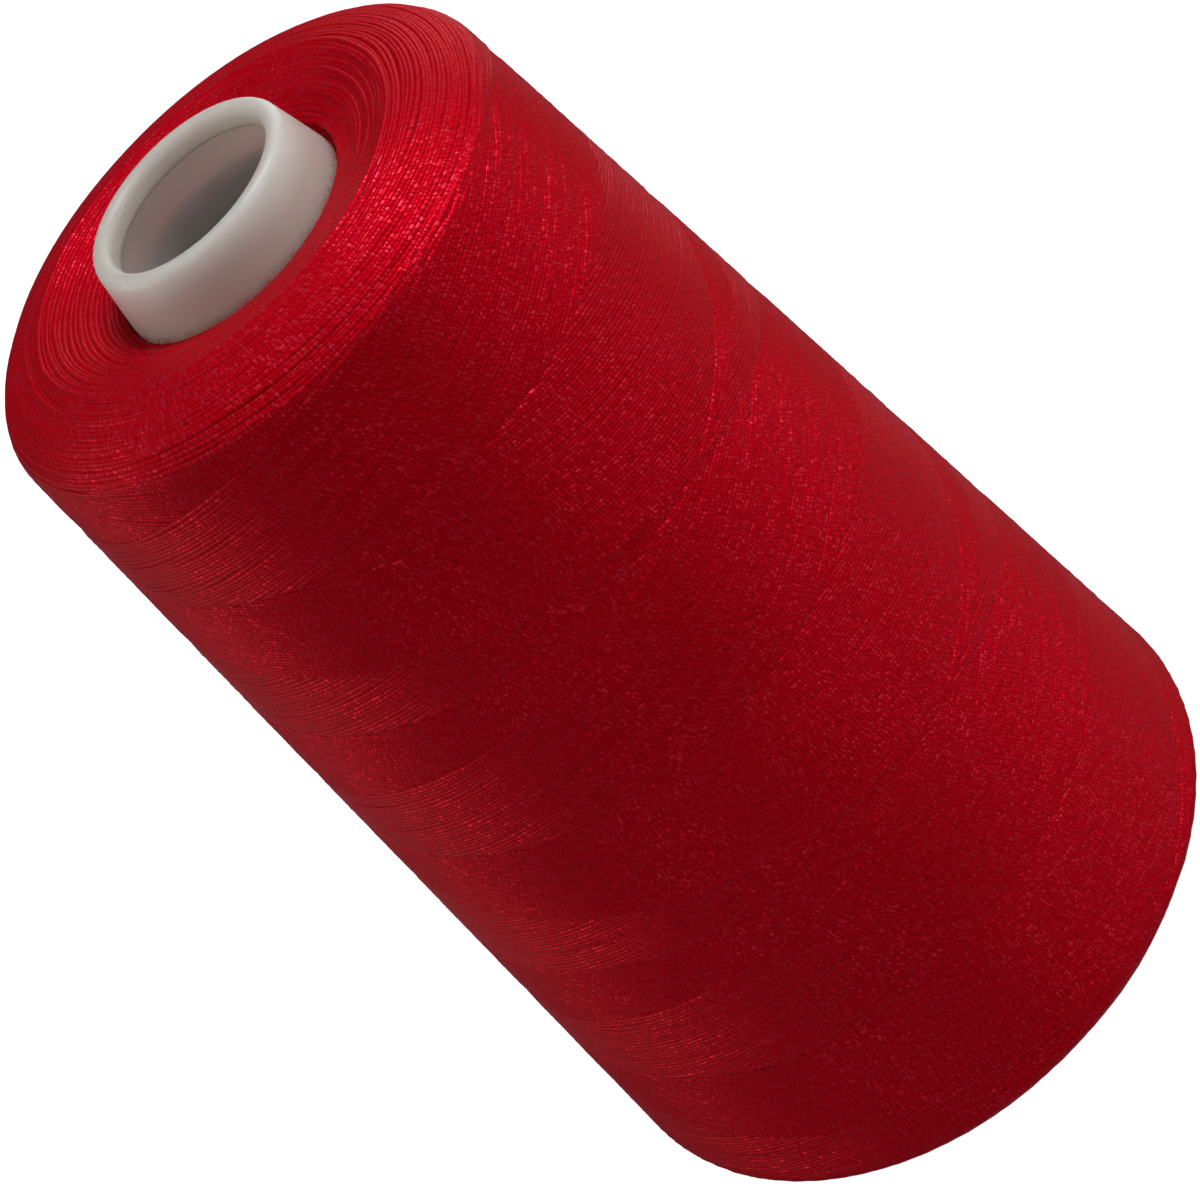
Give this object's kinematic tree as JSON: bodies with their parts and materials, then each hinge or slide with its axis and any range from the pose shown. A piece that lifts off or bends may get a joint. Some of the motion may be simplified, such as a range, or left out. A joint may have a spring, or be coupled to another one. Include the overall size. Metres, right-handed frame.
{
  "type": "cone of sewing thread",
  "caption": "Tapered cone of red sewing thread, cross-wound on an open moulded plastic core with a rounded nose lip and a flat foot rim.",
  "frame": {"origin": "centre of the core's foot rim, on the surface that the cone stands on", "axes": "+Z along the cone's axis, from the wide foot to the narrow nose"},
  "size_m": [0.0882, 0.089, 0.1464],
  "materials": {
    "core": "milky white moulded polypropylene, satin",
    "thread": "red two-ply polyester sewing thread, slight sheen"
  },
  "bodies": {
    "root": {"core_cone": "core", "thread_package": "thread", "outer_turns": "thread"}
  },
  "joints": []
}
